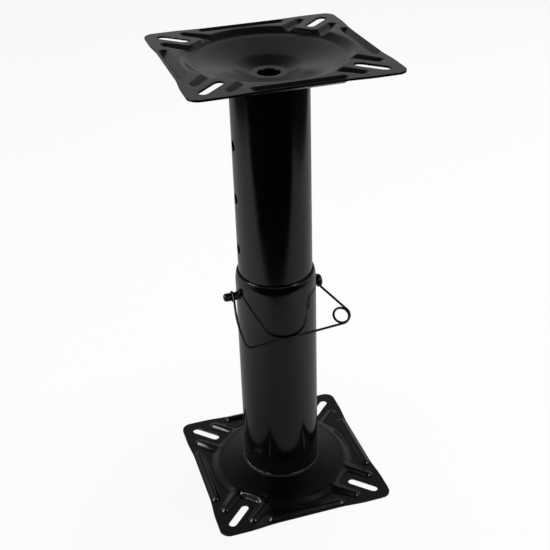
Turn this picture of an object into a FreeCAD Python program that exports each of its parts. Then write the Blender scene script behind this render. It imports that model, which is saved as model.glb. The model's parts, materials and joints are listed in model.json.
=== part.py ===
import FreeCAD, Part
import math
import os

import Sketcher

# Boat seat pedestal: two telescoping steel tubes, welded to two square stamped plates, and held at one of
# four heights by a cross pin with a wire bail. Millimetres. The origin is the centre of the base plate's
# underside, +Z is up, and +X runs along the cross pin from its tip to its head.

# Driving dimensions
DIMENSIONS = {
    # Stamped plate, the same for the base and the top
    "plate_width": 177.8,
    "plate_gauge": 2.0,
    "plate_corner": 10.0,
    "edge_draw_depth": 1.8,
    "edge_draw_margin": 26.9,
    "edge_draw_run": 30.0,
    "edge_draw_blend": 110.0,
    "dish_margin": 15.4,
    "dish_rim": 3.5,
    "dish_crest_blend": 4.0,
    "dish_wall_run": 7.5,
    "dish_foot_depth": 4.6,
    "dish_foot_blend": 6.0,
    "dish_slope": 0.2037,
    "funnel_inset": 3.0,
    "funnel_blend": 20.0,
    "centre_hole": 19.6,
    "centre_hole_depth": 17.4,
    "centre_lip_blend": 0.8,
    "centre_flat_width": 6.7,
    "centre_flat_blend": 6.0,
    "side_bead_margin": 50.9,
    "side_bead_width": 8.4,
    "side_bead_depth": 3.0,
    "side_bead_setback": 5.7,
    "slot_length": 31.8,
    "slot_width": 8.0,
    "slot_inset": 22.9,
    "slot_rib_offset": 16.0,
    "slot_rib_width": 6.0,
    "slot_rib_depth": 3.0,
    "slot_rib_outward": 1.66,
    "slot_rib_inward": 30.34,
    # Lower tube, welded to the base plate
    "lower_diameter": 76.2,
    "lower_wall": 1.9,
    "lower_length": 224.25,
    "mouth_diameter": 73.8,
    "mouth_height": 2.0,
    "mouth_taper": 7.5,
    "mouth_rim": 1.2,
    "tube_running_gap": 0.3,
    "cross_hole_setback": 22.2,
    "cross_hole": 9.5,
    # Upper tube, welded to the top plate
    "upper_diameter": 69.85,
    "upper_wall": 1.9,
    "upper_length": 254.0,
    "upper_first_hole": 36.0,
    "hole_pitch": 50.8,
    "hole_count": 4,
    # Weld beads
    "weld_leg": 3.2,
    # Locking pin and its wire bail
    "pin_diameter": 7.94,
    "pin_seat_gap": 0.02,
    "pin_grip": 92.8,
    "pin_tip_round": 2.6,
    "pin_neck_depth": 0.8,
    "pin_neck_width": 2.7,
    "pin_neck_setback": 8.6,
    "pin_head_diameter": 12.7,
    "pin_head_length": 4.6,
    "pin_head_round": 2.8,
    "pin_head_gap": 2.9,
    "wire_diameter": 2.3,
    "wire_gap": 0.06,
    "bail_rest_gap": 0.3,
    "bail_reach": 50.6,
    "bail_leg_slope": 3.5,
    "bail_leg_setback": 1.5,
    "bail_corner_overhang": 4.2,
    "bail_corner_round": 4.5,
    "bail_hook_turn": 240.0,
    "bail_hook_stub": 4.0,
    "bail_bend": 20.0,
    "bail_knee_drop": 25.0,
    "bail_knee_bulge": 2.2,
    "bail_knee_bend": 40.0,
    "coil_radius": 7.7,
    "coil_overhang": 16.4,
    "coil_pitch": 2.6,
    "arm_stub": 0.6,
    "arm_bend": 3.0,
}

doc = FreeCAD.newDocument("boat_seat_pedestal")


class Size:
    """A sheet value or a sum of them: the number draws a shape, and the text binds it to the sheet."""

    def __init__(self, number, text):
        self.number = float(number)
        self.text = text

    def __add__(self, other):
        other = as_size(other)
        return Size(self.number + other.number, f"({self.text} + {other.text})")

    def __sub__(self, other):
        other = as_size(other)
        return Size(self.number - other.number, f"({self.text} - {other.text})")

    def __mul__(self, other):
        other = as_size(other)
        return Size(self.number * other.number, f"({self.text} * {other.text})")

    def __truediv__(self, other):
        other = as_size(other)
        return Size(self.number / other.number, f"({self.text} / {other.text})")

    def __neg__(self):
        return Size(-self.number, f"(0 - {self.text})")


def as_size(value):
    """Give a plain number as a size."""
    return value if isinstance(value, Size) else Size(value, repr(float(value)))


def arc_sine(ratio):
    """The angle in degrees that has this sine."""
    return Size(math.degrees(math.asin(ratio.number)), f"asin({ratio.text})")


def arc_tangent(ratio):
    """The angle in degrees that has this tangent."""
    return Size(math.degrees(math.atan(ratio.number)), f"atan({ratio.text})")


def hypotenuse(first, second):
    """The length across two lengths at right angles."""
    square = first * first + second * second
    return Size(math.sqrt(square.number), f"sqrt({square.text})")


def make_sheet():
    """Write the driving dimensions to the sheet, and give each as a size bound to its cell."""
    sheet = doc.addObject("Spreadsheet::Sheet", "dims")
    sizes = {}
    for row, (name, number) in enumerate(DIMENSIONS.items(), start=1):
        sheet.set(f"A{row}", name)
        sheet.set(f"B{row}", str(number))
        sheet.setAlias(f"B{row}", name)
        sizes[name] = Size(number, f"dims.{name}")
    doc.recompute()
    return sizes


size = make_sheet()


# Sketches and features

def new_body(label):
    """Start a body whose label names its file."""
    body = doc.addObject("PartDesign::Body", label)
    body.Label = label
    return body


def origin_feature(body, role):
    """Find one of the body's own origin planes or axes."""
    for feature in body.Origin.OriginFeatures:
        if feature.Role == role:
            return feature
    raise ValueError(f"{body.Label} has no {role}")


def new_sketch(body, name, plane, at=(0, 0, 0), turn=0.0):
    """Start a sketch on one of the body's origin planes, shifted and turned in that plane's own frame."""
    sketch = body.newObject("Sketcher::SketchObject", name)
    sketch.AttachmentSupport = [(origin_feature(body, plane), "")]
    sketch.MapMode = "FlatFace"
    rotation = FreeCAD.Rotation(FreeCAD.Vector(0, 0, 1), turn)
    shift = [as_size(value) for value in at]
    sketch.AttachmentOffset = FreeCAD.Placement(FreeCAD.Vector(*(value.number for value in shift)), rotation)
    for axis, value in zip("xyz", shift):
        if value.number:
            sketch.setExpression(f"AttachmentOffset.Base.{axis}", value.text)
    return sketch


def bind_point(sketch, geometry, position, x, y, name):
    """Hold a point of the sketch at a place that follows the sheet."""
    for kind, value in (("DistanceX", x), ("DistanceY", y)):
        if abs(value.number) < 1e-9:
            axis = -2 if kind == "DistanceX" else -1
            sketch.addConstraint(Sketcher.Constraint("PointOnObject", geometry, position, axis))
            continue
        ends = (-1, 1, geometry, position) if value.number > 0 else (geometry, position, -1, 1)
        index = sketch.addConstraint(Sketcher.Constraint(kind, *ends, abs(value.number)))
        sketch.renameConstraint(index, f"{name}_{kind[-1].lower()}")
        bound = value if value.number > 0 else -value
        sketch.setExpression(f"Constraints.{name}_{kind[-1].lower()}", bound.text)


def bind_radius(sketch, geometry, radius, name):
    """Hold an arc's or a circle's radius to the sheet."""
    index = sketch.addConstraint(Sketcher.Constraint("Radius", geometry, radius.number))
    sketch.renameConstraint(index, name)
    sketch.setExpression(f"Constraints.{name}", radius.text)


def draw_loop(sketch, corners):
    """Draw a closed outline from its corners (x, y) or (x, y, rounding), each bound to the sheet."""
    corners = [tuple(as_size(value) for value in corner) for corner in corners]
    points = [FreeCAD.Vector(corner[0].number, corner[1].number, 0) for corner in corners]
    count = len(corners)
    arrive, leave, arcs = {}, {}, {}
    for index, corner in enumerate(corners):
        here = points[index]
        inward = (points[index - 1] - here).normalize()
        outward = (points[(index + 1) % count] - here).normalize()
        arrive[index] = leave[index] = here
        if len(corner) == 3:
            half_angle = inward.getAngle(outward) / 2
            reach = corner[2].number / math.tan(half_angle)
            bisector = (inward + outward).normalize()
            centre = here + bisector * (corner[2].number / math.sin(half_angle))
            arrive[index] = here + inward * reach
            leave[index] = here + outward * reach
            arcs[index] = (centre, inward.cross(outward).z < 0)
    lines = []
    for index in range(count):
        following = (index + 1) % count
        lines.append(sketch.addGeometry(Part.LineSegment(leave[index], arrive[following]), False))
    for index, corner in enumerate(corners):
        before, after = lines[index - 1], lines[index]
        if index not in arcs:
            sketch.addConstraint(Sketcher.Constraint("Coincident", before, 2, after, 1))
            bind_point(sketch, after, 1, corner[0], corner[1], f"corner_{index}")
            continue
        centre, counterclockwise = arcs[index]
        first, last = (arrive[index], leave[index]) if counterclockwise else (leave[index], arrive[index])
        start, end = (math.atan2(p.y - centre.y, p.x - centre.x) for p in (first, last))
        if end < start:
            end += 2 * math.pi
        circle = Part.Circle(centre, FreeCAD.Vector(0, 0, 1), corner[2].number)
        arc = sketch.addGeometry(Part.ArcOfCircle(circle, start, end), False)
        point = sketch.addGeometry(Part.Point(points[index]), True)
        near, far = (1, 2) if counterclockwise else (2, 1)
        sketch.addConstraint(Sketcher.Constraint("PointOnObject", point, 1, before))
        sketch.addConstraint(Sketcher.Constraint("PointOnObject", point, 1, after))
        sketch.addConstraint(Sketcher.Constraint("Tangent", before, 2, arc, near))
        sketch.addConstraint(Sketcher.Constraint("Tangent", arc, far, after, 1))
        bind_radius(sketch, arc, corner[2], f"round_{index}")
        bind_point(sketch, point, 1, corner[0], corner[1], f"corner_{index}")


def draw_circle(sketch, x, y, radius):
    """Draw one circle, bound to the sheet."""
    x, y = as_size(x), as_size(y)
    circle = Part.Circle(FreeCAD.Vector(x.number, y.number, 0), FreeCAD.Vector(0, 0, 1), radius.number)
    index = sketch.addGeometry(circle, False)
    bind_radius(sketch, index, radius, "circle_radius")
    bind_point(sketch, index, 3, x, y, "circle_centre")


def draw_slot(sketch, length, width):
    """Draw a round-ended slot along x, centred on the sketch's origin."""
    radius = width / 2
    reach = (length - width) / 2
    up, along = FreeCAD.Vector(0, radius.number, 0), FreeCAD.Vector(reach.number, 0, 0)
    top = sketch.addGeometry(Part.LineSegment(up - along, up + along), False)
    bottom = sketch.addGeometry(Part.LineSegment(-up - along, -up + along), False)
    quarter = math.pi / 2
    right_circle = Part.Circle(along, FreeCAD.Vector(0, 0, 1), radius.number)
    left_circle = Part.Circle(-along, FreeCAD.Vector(0, 0, 1), radius.number)
    right = sketch.addGeometry(Part.ArcOfCircle(right_circle, -quarter, quarter), False)
    left = sketch.addGeometry(Part.ArcOfCircle(left_circle, quarter, 3 * quarter), False)
    sketch.addConstraint(Sketcher.Constraint("Tangent", right, 2, top, 2))
    sketch.addConstraint(Sketcher.Constraint("Tangent", right, 1, bottom, 2))
    sketch.addConstraint(Sketcher.Constraint("Tangent", left, 1, top, 1))
    sketch.addConstraint(Sketcher.Constraint("Tangent", left, 2, bottom, 1))
    sketch.addConstraint(Sketcher.Constraint("Equal", left, right))
    bind_radius(sketch, right, radius, "end_radius")
    bind_point(sketch, right, 3, reach, as_size(0), "right_centre")
    bind_point(sketch, left, 3, -reach, as_size(0), "left_centre")


def revolve(body, name, sketch, axis, cut=False):
    """Turn a sketch once round one of its own axes, to add to the body or to cut it."""
    kind = "PartDesign::Groove" if cut else "PartDesign::Revolution"
    feature = body.newObject(kind, name)
    feature.Profile = sketch
    feature.ReferenceAxis = (sketch, [axis])
    feature.Angle = 360
    return feature


def pad(body, name, sketch, length):
    """Extrude a sketch along its normal."""
    feature = body.newObject("PartDesign::Pad", name)
    feature.Profile = sketch
    feature.setExpression("Length", length.text)
    return feature


def cut_through(body, name, sketch):
    """Cut a sketch through the whole body, both ways from its plane."""
    feature = body.newObject("PartDesign::Pocket", name)
    feature.Profile = sketch
    feature.Type = 1
    feature.Midplane = True
    return feature


def quarter_turns(body, name, features):
    """Repeat features on all four sides of a square plate."""
    pattern = body.newObject("PartDesign::PolarPattern", name)
    pattern.Originals = features
    pattern.Axis = (origin_feature(body, "Z_Axis"), [""])
    pattern.Angle = 360
    pattern.Occurrences = 4
    body.Tip = pattern
    return pattern


# Radii that the pieces share

lower_radius = size["lower_diameter"] / 2
lower_bore = lower_radius - size["lower_wall"]
upper_radius = size["upper_diameter"] / 2
upper_bore = upper_radius - size["upper_wall"]


# Stamped plate: mounting face at its own z = 0, dish towards +Z

DIAGONAL = 45.0
ROOT_TWO = math.sqrt(2)
SHEET_MARGIN = 4.0
PLATE_CORNERS = [(-1, -1), (1, -1), (1, 1), (-1, 1)]


plate_half = size["plate_width"] / 2
dish_radius = plate_half - size["dish_margin"]
dish_foot_radius = dish_radius - size["dish_wall_run"]
slot_centre = plate_half - size["slot_inset"]
rib_outer = slot_centre * ROOT_TWO + size["slot_rib_outward"]
rib_inner = slot_centre * ROOT_TWO - size["slot_rib_inward"]


def dish_height(radius):
    """Depth of the dish's straight cone, on the mounting side, at a radius from the centre."""
    return size["dish_foot_depth"] + size["dish_slope"] * (dish_foot_radius - radius)


def dish_corners(lift):
    """Corners of the dish from its rim to its funnel, lifted by the sheet's gauge or not."""
    rim = dish_radius + size["dish_rim"]
    funnel_radius = upper_bore - size["funnel_inset"]
    flat_radius = size["centre_hole"] / 2 + size["centre_flat_width"]
    return [
        (rim, lift),
        (dish_radius, lift, size["dish_crest_blend"]),
        (dish_foot_radius, lift + size["dish_foot_depth"], size["dish_foot_blend"]),
        (funnel_radius, lift + dish_height(funnel_radius), size["funnel_blend"]),
        (flat_radius, lift + size["centre_hole_depth"], size["centre_flat_blend"]),
    ]


def bead(body, name, at, turn, half_length, radius, cut):
    """A round-topped bead, lying in the sheet: its axis is in the sketch, and its ends are blunt rounds."""
    sketch = new_sketch(body, f"{name}_outline", "XY_Plane", at, turn)
    end_round = radius * 0.8
    draw_loop(sketch, [
        (-half_length, 0),
        (-half_length, radius, end_round),
        (half_length, radius, end_round),
        (half_length, 0),
    ])
    return revolve(body, name, sketch, "H_Axis", cut)


def side_bead(body, skin, cut):
    """The bead along one side of the plate: skin is what the outer face stands outside the groove."""
    half_width = size["side_bead_width"] / 2
    depth = size["side_bead_depth"]
    radius = (half_width * half_width + depth * depth) / (depth * 2)
    inset = plate_half - size["side_bead_setback"] - size["edge_draw_depth"]
    name = "side_groove" if cut else "side_rib"
    half_length = plate_half - size["side_bead_margin"] + skin
    return bead(body, name, (0, inset, depth - radius), 0.0, half_length, radius + skin, cut)


def slot_bead(body, skin, cut, side):
    """One of the two beads beside a slot, parallel to the diagonal, that run into the dish's wall."""
    half_width = size["slot_rib_width"] / 2
    depth = size["slot_rib_depth"]
    radius = (half_width * half_width + depth * depth) / (depth * 2)
    middle = (rib_outer + rib_inner) / 2
    across = size["slot_rib_offset"] * side
    at = ((middle - across) / ROOT_TWO, (middle + across) / ROOT_TWO, depth - radius)
    half_length = (rib_outer - rib_inner) / 2 + skin
    word = "groove" if cut else "rib"
    hand = "left" if side > 0 else "right"
    return bead(body, f"slot_{word}_{hand}", at, DIAGONAL, half_length, radius + skin, cut)


def trim_below(body):
    """Cut what the ribs' round sections leave below the mounting face."""
    sketch = new_sketch(body, "mounting_face", "XY_Plane")
    half = plate_half + SHEET_MARGIN
    draw_loop(sketch, [(-half, -half), (half, -half), (half, half), (-half, half)])
    feature = body.newObject("PartDesign::Pocket", "trim_below")
    feature.Profile = sketch
    feature.Type = 1
    feature.Reversed = False
    return feature


def draw_in_edge(body):
    """The shallow draw in the middle of one side, where the bead pulled the sheet's edge inwards."""
    half = plate_half
    outer = half - size["edge_draw_margin"]
    inner = outer - size["edge_draw_run"]
    bottom = half - size["edge_draw_depth"]
    sketch = new_sketch(body, "edge_draw_outline", "XY_Plane")
    draw_loop(sketch, [
        (-outer, half),
        (-inner, bottom, size["edge_draw_blend"]),
        (inner, bottom, size["edge_draw_blend"]),
        (outer, half),
        (outer, half + SHEET_MARGIN),
        (-outer, half + SHEET_MARGIN),
    ])
    return cut_through(body, "edge_draw", sketch)


def make_plate(label):
    """Stamp one mounting plate: first the outer form as a solid, then the forms pressed into it."""
    body = new_body(label)
    gauge = size["plate_gauge"]
    corner = size["plate_corner"]
    hole = size["centre_hole"] / 2

    outline = new_sketch(body, "outline", "XY_Plane")
    draw_loop(outline, [(plate_half * x, plate_half * y, corner) for x, y in PLATE_CORNERS])
    pad(body, "sheet", outline, gauge)

    dome = new_sketch(body, "dome_profile", "XZ_Plane")
    crown = gauge + size["centre_hole_depth"]
    rim = dish_radius + size["dish_rim"]
    draw_loop(dome, [(0, 0), (rim, 0)] + dish_corners(gauge) + [(0, crown)])
    revolve(body, "dome", dome, "V_Axis")

    ribs = [side_bead(body, gauge, False), slot_bead(body, gauge, False, 1), slot_bead(body, gauge, False, -1)]
    quarter_turns(body, "ribs", ribs)
    trim_below(body)
    quarter_turns(body, "edge_draws", [draw_in_edge(body)])

    dish = new_sketch(body, "dish_profile", "XZ_Plane")
    lip = size["centre_lip_blend"]
    corners = [(0, -SHEET_MARGIN), (rim, -SHEET_MARGIN)] + dish_corners(as_size(0))
    corners += [(hole, size["centre_hole_depth"], lip), (hole, crown + SHEET_MARGIN), (0, crown + SHEET_MARGIN)]
    draw_loop(dish, corners)
    revolve(body, "dish", dish, "V_Axis", cut=True)

    none = as_size(0)
    slot_outline = new_sketch(body, "slot_outline", "XY_Plane", (slot_centre, slot_centre, 0), DIAGONAL)
    draw_slot(slot_outline, size["slot_length"], size["slot_width"])
    slot = cut_through(body, "slot", slot_outline)
    grooves = [side_bead(body, none, True), slot_bead(body, none, True, 1), slot_bead(body, none, True, -1), slot]
    quarter_turns(body, "grooves", grooves)
    return body


def make_copy(label, original):
    """Make a second piece of the same form, which follows the first."""
    body = new_body(label)
    body.BaseFeature = original
    return body


# Heights that the pieces share

lower_foot = size["plate_gauge"] + dish_height(lower_bore)
mouth = lower_foot + size["lower_length"]
cross_hole_level = mouth - size["cross_hole_setback"]
hole_play = (size["cross_hole"] - size["pin_diameter"]) / 2 - size["pin_seat_gap"]
pin_level = cross_hole_level - hole_play
upper_end = pin_level - hole_play - size["upper_first_hole"]
upper_head = upper_end + size["upper_length"]
top_face = upper_head + size["plate_gauge"] + dish_height(upper_bore)


def raise_to(body, height):
    """Set the body's height, bound to the sheet."""
    body.setExpression("Placement.Base.z", height.text)


def cross_holes(body, height):
    """Drill straight through both walls of a tube, along X."""
    sketch = new_sketch(body, "cross_hole_circle", "YZ_Plane")
    draw_circle(sketch, 0, height, size["cross_hole"] / 2)
    return cut_through(body, "cross_hole", sketch)


def make_lower_tube():
    """The outer tube: its mouth is necked in to guide the upper tube, and its rim is rounded."""
    body = new_body("lower_tube")
    length = size["lower_length"]
    neck = size["mouth_diameter"] / 2
    guide = upper_radius + size["tube_running_gap"]
    neck_start = length - size["mouth_height"] - size["mouth_taper"]
    neck_end = length - size["mouth_height"]
    blend = size["mouth_taper"] / 2
    sketch = new_sketch(body, "wall_profile", "XZ_Plane")
    draw_loop(sketch, [
        (lower_bore, 0),
        (lower_radius, 0),
        (lower_radius, neck_start, blend * 4),
        (neck, neck_end, blend * 2),
        (neck, length, size["mouth_rim"]),
        (guide, length),
        (guide, neck_end),
        (lower_bore, neck_start),
    ])
    revolve(body, "wall", sketch, "V_Axis")
    cross_holes(body, length - size["cross_hole_setback"])
    raise_to(body, lower_foot)
    return body


def make_upper_tube():
    """The inner tube, with cross holes at even heights."""
    body = new_body("upper_tube")
    sketch = new_sketch(body, "wall_profile", "XZ_Plane")
    length = size["upper_length"]
    draw_loop(sketch, [(upper_bore, 0), (upper_radius, 0), (upper_radius, length), (upper_bore, length)])
    revolve(body, "wall", sketch, "V_Axis")
    hole = cross_holes(body, size["upper_first_hole"])
    row = body.newObject("PartDesign::LinearPattern", "cross_hole_row")
    row.Originals = [hole]
    row.Direction = (origin_feature(body, "Z_Axis"), [""])
    row.setExpression("Length", (size["hole_pitch"] * (size["hole_count"] - 1)).text)
    row.setExpression("Occurrences", size["hole_count"].text)
    body.Tip = row
    raise_to(body, upper_end)
    return body


def make_weld(label, tube_radius):
    """A bead of weld in the corner between a plate's dome and a tube, in the plate's own frame."""
    body = new_body(label)
    leg = size["weld_leg"]
    toe = tube_radius + leg
    gauge = size["plate_gauge"]
    root = gauge + dish_height(tube_radius)
    sketch = new_sketch(body, "bead_profile", "XZ_Plane")
    draw_loop(sketch, [
        (tube_radius, root),
        (toe, gauge + dish_height(toe)),
        (tube_radius + leg * 0.75, root + leg * 0.55, leg * 0.5),
        (tube_radius, root + leg),
    ])
    revolve(body, "bead", sketch, "V_Axis")
    return body


def turn_over(body):
    """Hang a piece of the top plate upside down, with its mounting face at the top."""
    down = FreeCAD.Rotation(FreeCAD.Vector(1, 0, 0), 180)
    body.Placement = FreeCAD.Placement(FreeCAD.Vector(0, 0, top_face.number), down)
    raise_to(body, top_face)


# Locking pin and bail: their own frame has the pin's axis along X and the bail's wire below it, at -Z

head_start = lower_radius + size["pin_head_gap"]
tip_end = head_start - size["pin_grip"]
neck_centre = tip_end + size["pin_neck_setback"]
wire_entry = head_start + size["pin_head_length"] / 2
wire_radius = size["wire_diameter"] / 2
bail_span = hypotenuse(size["bail_reach"], size["bail_leg_setback"])
rest_radius = lower_radius + wire_radius + size["bail_rest_gap"]
bail_angle = arc_sine(rest_radius / bail_span) + arc_tangent(size["bail_leg_setback"] / size["bail_reach"])


def swing_to_rest(piece):
    """Set a piece on the pin's axis, turned outwards until the bail rests on the lower tube's front."""
    outward = FreeCAD.Vector(-1, 0, 0)
    rotation = FreeCAD.Rotation(outward, bail_angle.number)
    piece.Placement = FreeCAD.Placement(FreeCAD.Vector(0, 0, pin_level.number), rotation)
    piece.setExpression("Placement.Rotation.Angle", bail_angle.text)
    raise_to(piece, pin_level)


def make_pin():
    """A turned pin: domed head with a wire hole across it, plain shank and a grooved, rounded tip."""
    body = new_body("locking_pin")
    radius = size["pin_diameter"] / 2
    neck = radius - size["pin_neck_depth"]
    neck_half = size["pin_neck_width"] / 2
    head = size["pin_head_diameter"] / 2
    head_end = head_start + size["pin_head_length"]
    sketch = new_sketch(body, "turned_profile", "XZ_Plane")
    draw_loop(sketch, [
        (tip_end, 0),
        (tip_end, radius, size["pin_tip_round"]),
        (neck_centre - neck_half, radius),
        (neck_centre - neck_half, neck),
        (neck_centre + neck_half, neck),
        (neck_centre + neck_half, radius),
        (head_start, radius),
        (head_start, head),
        (head_end, head, size["pin_head_round"]),
        (head_end, 0),
    ])
    revolve(body, "turned", sketch, "H_Axis")
    wire_hole = new_sketch(body, "wire_hole_circle", "XY_Plane")
    draw_circle(wire_hole, wire_entry, 0, size["wire_diameter"] / 2 + size["wire_gap"])
    cut_through(body, "wire_hole", wire_hole)
    swing_to_rest(body)
    return body


def bail_point(along, drop, outward):
    """A point of the bail: along the pin, down from its axis, and outwards from the bail's own plane."""
    return FreeCAD.Vector(along, -outward, -drop)


def rounded_run(points, rounds):
    """Edges of straight runs between points, with a tangent arc at each inner point."""
    edges = []
    start = points[0]
    for before, here, after, radius in zip(points, points[1:], points[2:], rounds):
        inward = (before - here).normalize()
        outward = (after - here).normalize()
        half_angle = inward.getAngle(outward) / 2
        bisector = (inward + outward).normalize()
        centre = here + bisector * (radius / math.sin(half_angle))
        near = here + inward * (radius / math.tan(half_angle))
        far = here + outward * (radius / math.tan(half_angle))
        edges.append(Part.LineSegment(start, near).toShape())
        edges.append(Part.Arc(near, centre - bisector * radius, far).toShape())
        start = far
    edges.append(Part.LineSegment(start, points[-1]).toShape())
    return edges


def hook_edge(radius, turn):
    """The open eye over the pin's neck, from its free end round the back and the top to the front."""
    def place(degrees):
        angle = math.radians(degrees)
        return bail_point(neck_centre.number, -radius * math.sin(angle), radius * math.cos(angle))
    return Part.Arc(place(turn), place(turn / 2), place(0)).toShape()


def coil_edge(centre, start_angle, turn, radius, pitch):
    """The spring coil: a helix that rises outwards, turned from its lowest point as the viewer sees it."""
    helix = Part.makeHelix(pitch, pitch * turn / (2 * math.pi), radius)
    across = bail_point(math.cos(start_angle), -math.sin(start_angle), 0)
    rise = bail_point(0, 0, 1)
    turned = FreeCAD.Rotation(across, rise.cross(across), rise, "ZXY")
    helix.Placement = FreeCAD.Placement(centre, turned)
    return helix.Edges


def make_bail():
    """The spring wire: hooked over the pin's neck, down, across the tube's front, round its coil, to the head."""
    wire = wire_radius.number
    slope = math.radians(size["bail_leg_slope"].number)
    reach = size["bail_reach"].number
    setback = size["bail_leg_setback"].number
    radius = size["coil_radius"].number
    pitch = size["coil_pitch"].number
    hook = (size["pin_diameter"] / 2 - size["pin_neck_depth"] + size["wire_gap"]).number + wire
    neck = neck_centre.number

    corner_x = -(lower_radius + size["bail_corner_overhang"]).number
    corner_drop = reach - math.tan(slope) * corner_x
    corner = bail_point(corner_x, corner_drop, -setback)
    coil_x = (lower_radius + size["coil_overhang"]).number
    coil_drop = reach - math.tan(slope) * coil_x - radius / math.cos(slope)
    start_angle = slope - math.pi / 2
    coil_start = bail_point(coil_x + radius * math.sin(slope), coil_drop + radius * math.cos(slope), -setback)

    head_drop = size["pin_head_diameter"].number / 2 + size["arm_stub"].number
    aim = math.atan2(coil_drop - head_drop, coil_x - wire_entry.number)
    distance = math.hypot(coil_drop - head_drop, coil_x - wire_entry.number)
    end_angle = math.pi - aim - math.acos(radius / distance)
    turn = end_angle - start_angle + 2 * math.pi
    rise = pitch * turn / (2 * math.pi)
    coil_centre = bail_point(coil_x, coil_drop, -setback)
    coil_end = bail_point(
        coil_x + radius * math.cos(end_angle), coil_drop - radius * math.sin(end_angle), rise - setback)

    hook_end = bail_point(neck, 0, hook)
    stub_drop = size["bail_hook_stub"].number
    knee_drop = size["bail_knee_drop"].number
    share = (knee_drop - stub_drop) / (corner_drop - stub_drop)
    stub = bail_point(neck, stub_drop, hook)
    knee = bail_point(neck - size["bail_knee_bulge"].number, knee_drop, hook - (hook + setback) * share)
    head_bend = bail_point(wire_entry.number, head_drop, 0)
    head_end = bail_point(wire_entry.number, -size["pin_head_diameter"].number / 2, 0)
    bends = [size["bail_bend"].number, size["bail_knee_bend"].number, size["bail_corner_round"].number]
    edges = [hook_edge(hook, size["bail_hook_turn"].number)]
    edges += rounded_run([hook_end, stub, knee, corner, coil_start], bends)
    edges += coil_edge(coil_centre, start_angle, turn, radius, pitch)
    edges += rounded_run([coil_end, head_bend, head_end], [size["arm_bend"].number])

    path = Part.Wire(edges)
    first = edges[0]
    tangent = first.tangentAt(first.FirstParameter)
    circle = Part.Circle(first.valueAt(first.FirstParameter), tangent, wire)
    section = Part.Wire([circle.toShape()])
    bail = doc.addObject("Part::Feature", "bail_wire")
    bail.Label = "bail_wire"
    bail.Shape = path.makePipeShell([section], True, False)
    swing_to_rest(bail)
    return bail


def check_and_export(pieces):
    """Stop on any failed object or shape, then write one file for each piece."""
    failed = [item.Name for item in doc.Objects if {"Invalid", "Error"} & set(item.State)]
    if failed:
        raise RuntimeError(f"failed objects: {failed}")
    for piece in pieces:
        if piece.Shape.isNull() or not piece.Shape.isValid():
            raise RuntimeError(f"bad shape: {piece.Label}")
    os.makedirs("parts", exist_ok=True)
    for piece in pieces:
        piece.Shape.exportStep(f"parts/{piece.Label}.step")
        print(piece.Label, len(piece.Shape.Solids), round(piece.Shape.Volume), piece.Shape.optimalBoundingBox())


base_plate = make_plate("base_plate")
top_plate = make_copy("top_plate", base_plate)
turn_over(top_plate)
base_weld = make_weld("base_weld", lower_radius)
top_weld = make_weld("top_weld", upper_radius)
turn_over(top_weld)
lower_tube = make_lower_tube()
upper_tube = make_upper_tube()
locking_pin = make_pin()
bail_wire = make_bail()

doc.recompute()
pieces = [base_plate, base_weld, lower_tube, upper_tube, top_weld, top_plate, locking_pin, bail_wire]
check_and_export(pieces)
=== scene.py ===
import json
import math

import bpy
import numpy as np
from mathutils import Matrix, Vector
from mathutils.geometry import delaunay_2d_cdt


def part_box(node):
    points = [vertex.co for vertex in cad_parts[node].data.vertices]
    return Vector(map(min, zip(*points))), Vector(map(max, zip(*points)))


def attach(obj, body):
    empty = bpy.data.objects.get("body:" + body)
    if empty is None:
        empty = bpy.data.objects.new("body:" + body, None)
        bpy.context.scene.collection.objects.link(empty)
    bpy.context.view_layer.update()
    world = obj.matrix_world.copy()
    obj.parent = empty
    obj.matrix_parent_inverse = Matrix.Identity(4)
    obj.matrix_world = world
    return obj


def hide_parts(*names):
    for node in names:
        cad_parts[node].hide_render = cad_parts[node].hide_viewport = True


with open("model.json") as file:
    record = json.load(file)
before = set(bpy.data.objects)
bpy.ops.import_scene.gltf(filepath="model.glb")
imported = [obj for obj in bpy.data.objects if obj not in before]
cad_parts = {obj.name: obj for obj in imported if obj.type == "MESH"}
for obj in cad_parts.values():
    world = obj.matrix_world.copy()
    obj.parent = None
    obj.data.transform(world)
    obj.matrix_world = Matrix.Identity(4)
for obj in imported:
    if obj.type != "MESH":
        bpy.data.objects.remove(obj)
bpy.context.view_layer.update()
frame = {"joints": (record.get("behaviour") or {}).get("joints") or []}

# Boat seat pedestal in gloss black paint. Shapes are worked out in millimetres and stored in metres.

MM = 0.001
ROOT_TWO = math.sqrt(2)
SLOPE_STEP = 0.05


# Sheet-metal meshes: a flat domain, triangulated with its holes, then laid on an outer and an inner face

EDGE_RINGS = (0.0, 0.1, 0.4, 1.0)
CLOSE_POINTS = 1e-5


class Domain:
    """Points of a flat domain, with how far each face is rounded off and tilted at the sheet's cut edges."""

    def __init__(self):
        self.points = []
        self.outward = []
        self.rounding = []
        self.loops = []
        self.count = 0

    def add(self, points, outward=None, rounding=(0.0, 0.0, 0.0, 0.0)):
        """Add points, and give back their numbers."""
        points = np.asarray(points, float).reshape(-1, 2)
        if outward is None:
            outward = np.zeros_like(points)
        self.points.append(points)
        self.outward.append(np.asarray(outward, float).reshape(-1, 2))
        self.rounding.append(np.tile(rounding, (len(points), 1)))
        numbers = np.arange(self.count, self.count + len(points))
        self.count += len(points)
        return numbers

    def add_edge(self, points, outward, outer_round, inner_round, closed=True):
        """Add a cut edge: the edge's own points, and rings of points where its two faces round off."""
        points = np.asarray(points, float)
        outward = np.asarray(outward, float)
        reach = max(outer_round, inner_round)
        for share in EDGE_RINGS:
            inset = share * reach
            drops = [edge_drop(inset, outer_round), edge_drop(inset, inner_round)]
            tilts = [edge_tilt(inset, outer_round), edge_tilt(inset, inner_round)]
            numbers = self.add(points - outward * inset, outward, drops + tilts)
            if share == 0.0:
                self.loops.append((numbers, closed))


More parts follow.
